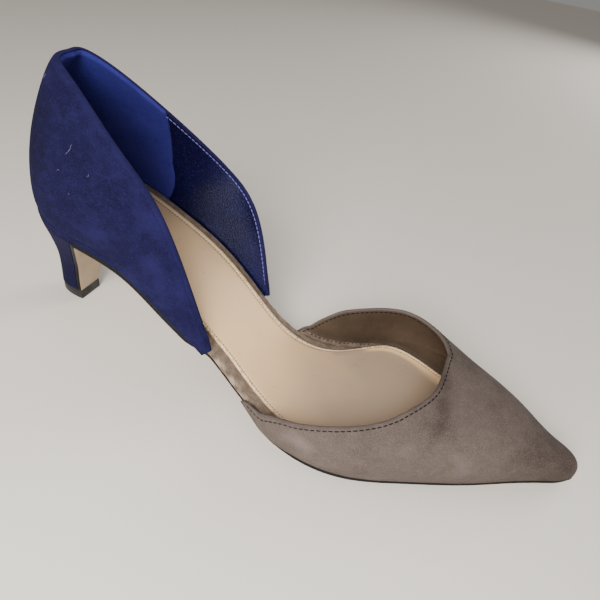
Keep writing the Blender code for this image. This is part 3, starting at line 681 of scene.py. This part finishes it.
along = np.linspace(0, 1, BACK + 1)
halves = [counter_half(MEDIAL, along, 70)[:, ::-1], counter_half(LATERAL, along, 70)[:, 1:]]
counter_last = np.concatenate(halves, axis=1)
counter_out = normals(counter_last, place(0.13, 0, COUNTER_HEIGHT * 0.4))
columns_off = np.abs(np.arange(counter_last.shape[1]) - BACK)
down_wall = np.linalg.norm(counter_last - counter_last[:1], axis=-1)
padding = 0.9 * MM * bell(columns_off, 26) * bell(down_wall, 14 * MM)
outer, inner, from_edge = folded(counter_last, counter_out, WALL + padding)

# Paler along the topline, as worn nap and as a painted highlight on its fold, and paler low on the wings.
# Darker low round the back, which is painted shade where the back faces away from the light.
counter_nap_and_shade = 0.5 * bell(down_wall, 7 * MM) + 0.6 * bell(columns_off - 100, 30)
low_down = np.clip((112 * MM - counter_last[..., 2]) / (20 * MM), 0, 1)
counter_nap_and_shade -= 1.6 * bell(columns_off, 30) * low_down
BLUE = suede("blue suede", "#060514", "#0f0c2a", "#1c1942", "#282553", streak=0.5, cloud_mm=11.0)
walls = shell(outer, inner)
piece("counter_suede", *walls, [BLUE], "counter", "blue_suede", edge_mm=from_edge, nap=counter_nap_and_shade)

NAVY_LINING = smooth_lining("navy lining leather", "#090726", "#0d0b34", "#45457a", 0.38, 0.09)
lining_in = counter_last - counter_out * 0.02 * MM
lining_out = counter_last + counter_out * LINING_OVERLAP
lining = shell(lining_out[LINING_ROW:], lining_in[LINING_ROW:])
piece("counter_lining", *lining, [NAVY_LINING], "counter", "blue_suede")
NAVY_THREAD = thread("navy thread", "#1a1738", roughness=0.9)
# The inside stitches are painted pale, a painted highlight along the thread.
HIGHLIT_THREAD = thread("thread with painted highlight", "#66649a", roughness=0.4)
seam = slice(4, -4)
outward, slot = counter_out[STITCH_ROW, seam], "blue_suede"
stitch_row("counter_stitches", outer[STITCH_ROW, seam], outward, NAVY_THREAD, "counter", slot, radius=0.13)
inside = lining_in[STITCH_ROW, seam]
stitch_row("counter_stitches_inside", inside, -outward, HIGHLIT_THREAD, "counter", slot, pitch=2.0, length=1.75)


def between_columns(grid, columns):
    """The grid's points at fractional columns, a row of columns for each row, by straight blending."""
    left = np.clip(np.floor(columns).astype(int), 0, grid.shape[1] - 2)
    part = (columns - left)[..., None]
    rows = np.arange(len(grid))[:, None]
    return grid[rows, left] * (1 - part) + grid[rows, left + 1] * part


# The grip's front edges stand upright, some 40 mm ahead of the heel's tip
COBALT = suede("cobalt grip suede", "#1a1a4d", "#252568", "#323078", "#3e3e8a", streak=0.3)
GRIP_ROW, GRIP_COLUMNS = 2, 121
grip_rows = np.arange(GRIP_ROW, len(counter_last))[:, None]
half_columns = np.interp(grip_rows, (2, 13, 33, 51, 62, 70, 87), (50, 51, 54, 57, 61, 63, 66))
grip_columns = BACK + half_columns * np.linspace(-1, 1, GRIP_COLUMNS)
grip_face = between_columns(counter_last[GRIP_ROW:], grip_columns)
grip_out = between_columns(counter_out[GRIP_ROW:], grip_columns)
grip_back = grip_face - grip_out * 0.03 * MM
fold_rows = LINING_ROW - GRIP_ROW
grip_back[:fold_rows] = between_columns(inner[GRIP_ROW:LINING_ROW], grip_columns[:fold_rows])

# It is 0.5 mm thick, thinned to 0.08 mm at its front edges by a quarter circle and rounded off at its top
grip_edge = round_end(from_ends(GRIP_COLUMNS) * 0.6, 2.0)[None, :, None]
grip_front = grip_face - grip_out * (0.08 + 0.42 * grip_edge) * MM
grip_top = round_end(grip_rows - GRIP_ROW, 6)[..., None]
grip_front = grip_back + (grip_front - grip_back) * np.maximum(grip_top, 0.08)
# A paler band just under its top edge is a painted highlight, and it is painted paler towards its foot,
# painted light where the walls shade it.
grip_painted_light = 1.2 * bell(grip_rows - GRIP_ROW - 4, 4) + 2.2 * np.clip((grip_rows - 25) / 45, 0, 1)
grip_painted_light = grip_painted_light + 0 * grip_columns
piece("heel_grip", *shell(grip_back, grip_front), [COBALT], "counter", "blue_suede", nap=grip_painted_light)

# White lint caught in the nap: (row, column) of both ends of each hair, which bows a little between them
LINT = (
    ((33, 182), (26, 182)),
    ((21, 155), (18, 156)),
    ((72, 147), (70, 149)),
    ((32, 193), (30, 193)),
    ((49, 190), (48, 190)),
    ((43, 182), (42, 183)),
)
ends = np.array(LINT)
first, last = outer[ends[:, 0, 0], ends[:, 0, 1]], outer[ends[:, 1, 0], ends[:, 1, 1]]
lift = counter_out[ends[:, 0, 0], ends[:, 0, 1]]
part = np.linspace(0, 1, 9)[None, :, None]
bow = np.sin(math.pi * part) * np.array([0.5, -0.3, 0.2, 0.4, 0.1, -0.4])[:, None, None] * MM
hair = first[:, None] * (1 - part) + last[:, None] * part + lift[:, None] * 0.12 * MM
sideways = unit(np.cross(unit(last - first), lift))[:, None]
hair = hair + sideways * bow
turn = np.linspace(0, 2 * math.pi, 6)[:-1]
taper = np.sqrt(np.sin(math.pi * part))[:, :, None] * 0.04 * MM
round_about = np.cos(turn)[:, None] * sideways[:, :, None] + np.sin(turn)[:, None] * lift[:, None, None]
points = hair[:, :, None] + taper * round_about
each = points.shape[1:3]
faces = many(quads(*each, wrap_count=True), len(LINT), each[0] * each[1])
lint = one_colour("white lint", "#8d8cae", 0.9)
piece("lint", points, faces, [lint], "counter", "blue_suede", weld=1e-7)

# Outsole
# Thin tan leather from the toe to the seat, bent down the front of the heel as a flap. Its edge is painted
# black, flush with the walls, and at the open waist it is skived in under the wrapped board.

WAIST_TUCK, HEEL_SEAT_LENGTH = 2.0 * MM, 29 * MM
HEEL_TIP_WIDTH, TOP_LIFT_THICKNESS = 12.5 * MM, 5.0 * MM
BREAST_SHARE = HEEL_SEAT_LENGTH / SOLE_LENGTH

# Share of the way down the heel, back, breast and half width as shares of the way from the seat to the tip
HEEL = np.array(
    [
        (0.00, 0.00, 0.00, 0.00),
        (0.12, 0.22, 0.19, 0.18),
        (0.25, 0.38, 0.38, 0.38),
        (0.43, 0.48, 0.61, 0.62),
        (0.62, 0.56, 0.80, 0.82),
        (0.80, 0.72, 0.92, 0.92),
        (1.00, 1.00, 1.00, 1.00),
    ]
).T


def heel_level(share):
    """Back x, breast x, medial and lateral half widths and height at a share of the way down the heel."""
    seat_back, seat_breast = place(0, 0, -GAP)[0] - WALL, place(BREAST_SHARE, 0, -GAP)[0] - GAP
    seat_z, bottom = place(BREAST_SHARE, 0, -GAP)[2], TOP_LIFT_THICKNESS + GAP
    back = seat_back + (-HEEL_TIP_LENGTH / 2 - seat_back) * spline(HEEL[0], HEEL[1], share)
    breast = seat_breast + (HEEL_TIP_LENGTH / 2 - seat_breast) * spline(HEEL[0], HEEL[2], share)
    drawn_in = spline(HEEL[0], HEEL[3], share)
    medial, lateral = (abs(outline(BREAST_SHARE, side, WALL)) for side in (MEDIAL, LATERAL))
    medial, lateral = (width + (HEEL_TIP_WIDTH / 2 - width) * drawn_in for width in (medial, lateral))
    return back, breast, medial, lateral, seat_z + (bottom - seat_z) * share


grow_at = [0, COUNTER_WING_AT[LATERAL] - 0.04, COUNTER_WING_AT[LATERAL] + 0.02]
grow_at += [VAMP_WING_AT[MEDIAL] - 0.01, VAMP_WING_AT[MEDIAL] + 0.06, 1]
toe_at = 1 - TOE_ROUND / SOLE_LENGTH
toe_turn = np.linspace(math.pi / 2, 0, 31)[:-1]
sole_shares = toe_at + (TOE_ROUND + WALL) / SOLE_LENGTH * np.sin(toe_turn)
sole_shares = np.concatenate([sole_shares, np.linspace(toe_at, BREAST_SHARE, 220)])
grown = steady(grow_at, (WALL, WALL, -WAIST_TUCK, -WAIST_TUCK, WALL, WALL), np.clip(sole_shares, 0, 1))
flap_share = 0.02 + 0.975 * np.linspace(0, 1, 61)[1:]
_, breast, flap_medial, flap_lateral, flap_z = heel_level(flap_share)
spine = np.concatenate([place(sole_shares, 0, -GAP), np.stack([breast + GAP, 0 * breast, flap_z], -1)])
lateral = np.concatenate([outline(sole_shares, LATERAL, grown), -flap_lateral])
medial = np.concatenate([outline(sole_shares, MEDIAL, grown), flap_medial])

# The corner between the seat and the breast is bent round, by averaging neighbours within some 3 mm of it
walked = walked_along(spine)
corner = walked[len(sole_shares) - 1]
bend = corner + np.linspace(-6, 6, 25) * MM
even = np.concatenate([walked[walked < bend[0]], bend, walked[walked > bend[-1]]])
track = blended(even, walked, spine)
lateral, medial = np.interp(even, walked, lateral), np.interp(even, walked, medial)
near_corner = bell(even - corner, 3 * MM)[:, None]
for _ in range(12):
    softer = track.copy()
    softer[1:-1] = (track[:-2] + 2 * track[1:-1] + track[2:]) / 4
    track = track + (softer - track) * near_corner
ahead = unit(np.gradient(track, axis=0))
beneath = np.stack([ahead[:, 2], 0 * even, -ahead[:, 0]], -1)
beneath *= np.sign(-beneath[40, 2])

# One cross section: across the underside, up the lateral edge, back over the top, down the medial edge
rise = np.linspace(0.85, 0.15, 5)
profile_y = np.concatenate([np.linspace(1, -1, 13), np.full(5, -1.0), np.linspace(-1, 1, 13), np.ones(5)])
profile_h = np.concatenate([np.ones(13), rise, np.zeros(13), rise[::-1]])
bulge = 0.25 * MM * (np.sin(profile_h * math.pi) - 1)
middle_y, half_y = (medial + lateral) / 2, (medial - lateral) / 2
points = track[:, None] + beneath[:, None] * (profile_h[:, None] * OUTSOLE_THICKNESS)
slim = np.clip(half_y[:, None] / (2 * MM), 0, 1)
points[..., 1] = middle_y[:, None] + half_y[:, None] * profile_y + np.sign(profile_y) * bulge * slim
last = points[-1:].mean(axis=1, keepdims=True)
points = np.concatenate([points, last + (points[-1:] - last) * 0.5, last + 0 * points[-1:]])
count = len(profile_y)
faces = quads(len(points), count, wrap_count=True)
painted = np.zeros((len(points) - 1, count), int)
painted[:, 12:] = painted[0] = painted[-2:] = 1

material, tree, shader = new_material("tan sole leather")
where = add(tree, "ShaderNodeTexCoord", {}, out="Object")
clouds = add(tree, NOISE, {"Vector": where, "Scale": 1000 / 14, "Detail": 5.0})
pores = add(tree, NOISE, {"Vector": where, "Scale": 1000 / 0.6, "Detail": 2.0})
tan = add(tree, MIX, {"Factor": clouds, 6: "#85715a", 7: "#b39c80"}, out=2, data_type="RGBA")
bump = add(tree, BUMP, {"Height": pores, "Strength": 0.25, "Distance": 0.1 * MM})
connect(tree, shader, {"Base Color": tan, "Normal": bump, "Roughness": 0.5})
layers = [material, one_colour("black edge paint", "#080605", 0.6, gloss=0.2, grain_mm=3.0, strength=0.2)]
piece("outsole_leather", points, faces, layers, "outsole", "tan_sole_leather", face_layer=painted)

# Heel
# A moulded plastic heel, slim and curved, covered in the counter's blue suede, which is glued round it from
# the back and turned in under the flap at the breast.


def heel_rings(shares):
    """Sections of the heel: the seat's outline drawn in to each level's length and widths."""
    reach = min(SEAT_ROUND / SOLE_LENGTH, BREAST_SHARE)
    over = WALL / SOLE_LENGTH
    back_shares = -over + (reach + over) * (1 - np.cos(np.linspace(0, math.pi / 2, 33)))
    back_shares = np.concatenate([back_shares, np.linspace(reach, BREAST_SHARE, 6)[1:]])
    medial = place(back_shares, outline(back_shares, MEDIAL, WALL), -GAP)
    lateral = place(back_shares, outline(back_shares, LATERAL, WALL), -GAP)
    seat = np.concatenate([medial[::-1], lateral[1:]])
    back0, breast0, half_medial0, half_lateral0, _ = heel_level(0.0)
    back, breast, half_medial, half_lateral, _ = (np.asarray(v)[..., None] for v in heel_level(shares))
    part = np.clip((seat[:, 0] - back0) / (breast0 - back0), 0, 1)
    half0 = np.where(seat[:, 1] > 0, half_medial0, half_lateral0)
    half = np.where(seat[:, 1] > 0, half_medial, half_lateral)
    bottom = TOP_LIFT_THICKNESS + GAP
    z = bottom + (seat[:, 2] - bottom) * (1 - shares[:, None])
    return np.stack([back + (breast - back) * part, seat[:, 1] / half0 * half, z], -1)


shares = np.linspace(0, 1, 121) ** 1.3
rings = heel_rings(shares)
middle = rings.mean(axis=1, keepdims=True)

# Just under the seat the cover is drawn in a little, so that its joint with the counter shows as one line
DRAWN_IN, DRAWN_IN_OVER = 0.022, 0.022
rings = middle + (rings - middle) * (1 - DRAWN_IN * bell(shares, DRAWN_IN_OVER))[:, None, None]
sizes = np.array([0.0, 0.35, 0.7])[:, None, None]
lid = middle[:1] + (rings[:1] - middle[:1]) * sizes
foot = middle[-1:] + (rings[-1:] - middle[-1:]) * sizes[::-1]
points = np.concatenate([lid, rings, foot])
faces = quads(len(points), rings.shape[1], wrap_count=True)
piece("heel_cover", points, faces, [BLUE], "heel", "blue_suede", nap=-0.6)

# Top lift
# The hard black wearing piece nailed under the heel's tip, with a small bevel round its foot. The photo
# doesn't show it, so its form is the usual one.

ring = heel_rings(np.array([1.0]))[0]
part = (ring[:, 0] - ring[:, 0].min()) / np.ptp(ring[:, 0])
ring[:, 0] += part * (GAP + OUTSOLE_THICKNESS)
centre = ring.mean(axis=0)
heights = np.array([1.0, 1.0, 1.0, 0.95, 0.06, 0.0, 0.0, 0.0]) * TOP_LIFT_THICKNESS
sizes = np.array([0.0, 0.5, 0.97, 1.0, 1.0, 0.96, 0.5, 0.0])
points = centre + (ring - centre) * sizes[:, None, None]
points[..., 2] = heights[:, None]
rubber = one_colour("black rubber", "#14120f", 0.55, grain_mm=0.7, detail=3.0)
faces = quads(*points.shape[:2], wrap_count=True)
piece("top_lift_rubber", points, faces, [rubber], "top_lift", "black_rubber")

# Sock
# The beige leather lining sock, glued on the wrapped board with a bare margin round it and stitched 2 mm in
# from its edge. The strip outside the stitches stands up, and inside the vamp the edge turns up the wall.

SOCK_INSET, SOCK_INSET_TOE, SOCK_THICKNESS, SOCK_WIDENS_AT = 5.5 * MM, 1.2 * MM, 1.2 * MM, (0.50, 0.78)
SOCK_TURN_UP, TURN_UP_WITHIN, SOCK_RINGS = 1.5 * MM, 6.5 * MM, 12


def sock_loop(grow):
    """Shares and y round the sock: the feather edge drawn in by a margin, closed by quarter circles.

    The margin takes 0.6 of the growth on the lateral side, and 1.2 down to 0.6 of it on the medial.
    """
    first = (SOCK_INSET - grow) / SOLE_LENGTH
    last = 1 - (TOE_BULK_ROUND - grow) / SOLE_LENGTH
    back_reach, front_reach = SEAT_ROUND / SOLE_LENGTH - first, (TOE_ROUND + grow) / SOLE_LENGTH
    shares = np.concatenate(
        [
            first + back_reach * (1 - np.cos(np.linspace(0, math.pi / 2, 31))),
            np.linspace(first + back_reach, last - front_reach, 201)[1:],
            last - front_reach + front_reach * np.sin(np.linspace(0, math.pi / 2, 13))[1:],
        ]
    )
    insets = (SOCK_INSET, SOCK_INSET, SOCK_INSET_TOE, SOCK_INSET_TOE)
    lateral_inset = steady((0.0, *SOCK_WIDENS_AT, 1.0), insets, shares) - grow * 0.6
    insets = (SOCK_INSET, SOCK_INSET, SOCK_INSET + 0.5 * MM, SOCK_INSET_TOE, SOCK_INSET_TOE)
    drawn_in = steady((0, 0.48, 0.58, 1), (1.2, 1.2, 0.6, 0.6), shares)
    medial_inset = steady((0.0, 0.48, 0.55, 0.67, 1.0), insets, shares) - grow * drawn_in
    ends = round_end(shares - first, back_reach) * round_end(last - shares, front_reach)
    whole = SEAT_ROUND / SOLE_LENGTH
    centre = np.where(shares > whole, (outline(shares, MEDIAL) + outline(shares, LATERAL)) / 2, 0)
    full = np.maximum(shares, whole)
    medial = centre + np.maximum(outline(full, MEDIAL) - centre - medial_inset, 0) * ends
    lateral = centre - np.maximum(centre - outline(full, LATERAL) - lateral_inset, 0) * ends
    return np.concatenate([shares, shares[-2:0:-1]]), np.concatenate([medial, lateral[-2:0:-1]])


def sock_lift(shares, y):
    """Height gained inside the vamp: a power of the nearness to the medial edge."""
    near = np.clip(1 - (outline(shares, MEDIAL) - SOCK_INSET_TOE - y) / TURN_UP_WITHIN, 0, 1)
    window = steady((0, 0.58, 0.68, 0.80, 0.90, 1), (0, 0, 1, 1, 0, 0), shares)
    return SOCK_TURN_UP * near**1.5 * window


# Rings round the sock's edge: distance in from the rim in millimetres, height as a share of its thickness
FROM_RIM = np.array([4.5, 3.4, 2.8, 2.4, 2.2, 2.0, 1.8, 1.6, 1.3, 0.9, 0.5, 0.2, 0.0, 0.0, 0.1, 4.5])
RIM_HEIGHT = np.array([1.0, 1.0, 0.98, 0.9, 0.8, 0.74, 0.8, 0.92, 1.02, 1.06, 1.02, 0.9, 0.6, 0.2, 0.0, 0.0])
SOCK_STITCH_RING = SOCK_RINGS + 5
rim_up = BOARD_THICKNESS + GAP / 3 + RIM_HEIGHT * SOCK_THICKNESS
sock_grow, sock_height, sock_inward = plate(-FROM_RIM * MM, rim_up, SOCK_RINGS)
sock = slab(sock_loop, sock_grow, sock_height, sock_inward, lift=sock_lift)
sock_mm = np.pad(FROM_RIM, SOCK_RINGS, constant_values=9.0)[:, None] + 0 * sock[..., 0]

# Greyed over the seat and shank, painted shade of the counter's walls; clean and warm at the waist;
# greyed under the ball and toes by the foot's wear and by painted shade under the vamp.
sock_shares = np.array([sock_loop(grow)[0] for grow in sock_grow])
wear_and_shade_at = (0, 0.25, 0.42, 0.60, 0.70, 0.82, 1)
sock_wear_and_shade = steady(wear_and_shade_at, (0.9, 0.6, 0.0, 0.9, 1.1, 0.9, 0.7), sock_shares)
# The turned-up edge is painted paler where it faces the light, with a painted shadow line in its crease.
turned_up = sock_lift(sock_shares, sock[..., 1]) / SOCK_TURN_UP
fold_shadow_paint = bell(turned_up - 0.05, 0.05) * (turned_up > 0)
sock_wear_and_shade = sock_wear_and_shade * (1 - 0.9 * np.clip(turned_up * 4, 0, 1)) + 1.2 * fold_shadow_paint
material, tree, shader = new_material("beige lining leather")
where = add(tree, "ShaderNodeTexCoord", {}, out="Object")
clouds = add(tree, NOISE, {"Vector": where, "Scale": 1000 / 22, "Detail": 4.0})
grain = add(tree, "ShaderNodeTexVoronoi", {"Vector": where, "Scale": 1000 / 0.7})
dirt = add(tree, NOISE, {"Vector": where, "Scale": 1000 / 4.5, "Detail": 1.0})
specks = add(tree, NOISE, {"Vector": where, "Scale": 1000 / 1.0, "Detail": 1.0})
wear_and_shade = add(tree, "ShaderNodeAttribute", {}, out="Fac", attribute_name="nap")
rim = add(tree, "ShaderNodeAttribute", {}, out="Fac", attribute_name="edge_mm")
cloudy = add(tree, "ShaderNodeMath", {0: clouds, 1: 0.5, 2: wear_and_shade}, operation="MULTIPLY_ADD")
strip = add(tree, RAMP, {"Value": rim, "From Min": 1.9, "From Max": 1.5, "To Max": 0.5})
speckled = add(tree, RAMP, {"Value": specks, "From Min": 0.48, "From Max": 0.62, "To Max": 1.44})
unworn_or_lit = add(tree, RAMP, {"Value": wear_and_shade, "From Min": 0.8, "From Max": 0.3})
speckled = add(tree, "ShaderNodeMath", {0: speckled, 1: unworn_or_lit}, operation="MULTIPLY")
in_strip = add(tree, "ShaderNodeMath", {0: strip, 1: speckled}, operation="MULTIPLY")
layers = (
    (cloudy, 0.15, 1.25, 1.0, "#b0977e"),
    (dirt, 0.72, 0.78, 0.25, "#8f7a66"),
    (strip, 0.0, 1.0, 1.0, "#e6cda6"),
    (in_strip, 0.0, 1.0, 1.0, "#9c8368"),
)
ground = layered(tree, "#f9cd96", layers)
bump = add(tree, BUMP, {"Height": grain, "Strength": 0.15, "Distance": 0.1 * MM})
connect(tree, shader, {"Base Color": ground, "Normal": bump, "Roughness": 0.5, "Specular IOR Level": 0.35})
faces = quads(*sock.shape[:2], wrap_count=True)
piece("sock_leather", sock, faces, [material], "insole_sock", "nude_leather", edge_mm=sock_mm, nap=sock_wear_and_shade)
TAN_THREAD = thread("tan thread", "#46362a", roughness=0.6)
row = np.concatenate([sock[SOCK_STITCH_RING], sock[SOCK_STITCH_RING, :1]])
upright, slot = place(0.5, 0, 1) + 0 * row, "nude_leather"
size = {"pitch": 1.4, "length": 0.85, "radius": 0.2}
stitch_row("sock_stitches", row, upright, TAN_THREAD, "insole_sock", slot, **size)

# Floor
# A plain pale floor that the shoe stands on.

floor_mesh = bpy.data.meshes.new("floor")
floor_mesh.from_pydata([(-3, -3, 0), (3, -3, 0), (3, 3, 0), (-3, 3, 0)], [], [(0, 1, 2, 3)])
floor_mesh.materials.append(one_colour("pale floor paint", "#ebe3d8", 0.9))
floor = put("floor", floor_mesh)

# Lights and camera
# Soft windows to the outer side and beyond the toe, a low lamp, a large weak light overhead and a pale sky.
# The camera stands above the outer side, turned a little about its line of sight, as the photo's did.

world = bpy.data.worlds.new("studio")
bpy.context.scene.world = world
world.use_nodes = True
sky = world.node_tree.nodes["Background"]
connect(world.node_tree, sky, {"Color": "#f4f2ee", "Strength": 0.28})

# Name, place, width in metres and power in watts of each light, all turned to the middle of the shoe
LIGHTS = (
    ("near window", (0.12, -0.38, 0.31), 0.25, 3.4),
    ("far window", (0.95, 1.09, 0.45), 0.75, 11.8),
    ("low lamp", (0.12, -0.40, 0.06), 0.12, 0.9),
    ("ceiling", (0.1, 0.0, 1.0), 0.9, 2.4),
)
MIDDLE = Vector((0.12, 0, 0.03))
for name, spot, size, power in LIGHTS:
    light = bpy.data.lights.new(name, "AREA")
    light.size, light.energy = size, power
    lamp = put(name, light)
    lamp.location = spot
    lamp.rotation_euler = (MIDDLE - Vector(spot)).to_track_quat("-Z", "Y").to_euler()

camera_data = bpy.data.cameras.new("camera")
camera_data.lens, camera_data.sensor_width, camera_data.sensor_fit = 28.534, 36.0, "HORIZONTAL"
camera_data.clip_start = 0.005
camera = put("camera", camera_data)
right = Vector((0.917456, 0.368461, 0.150036))
upward = Vector((-0.343991, 0.545248, 0.764445))
backward = Vector((0.199861, -0.752955, 0.626988))
turned = Matrix((right, upward, backward)).transposed().to_4x4()
camera.matrix_world = Matrix.Translation((0.155698, -0.145080, 0.164445)) @ turned
bpy.context.scene.camera = camera
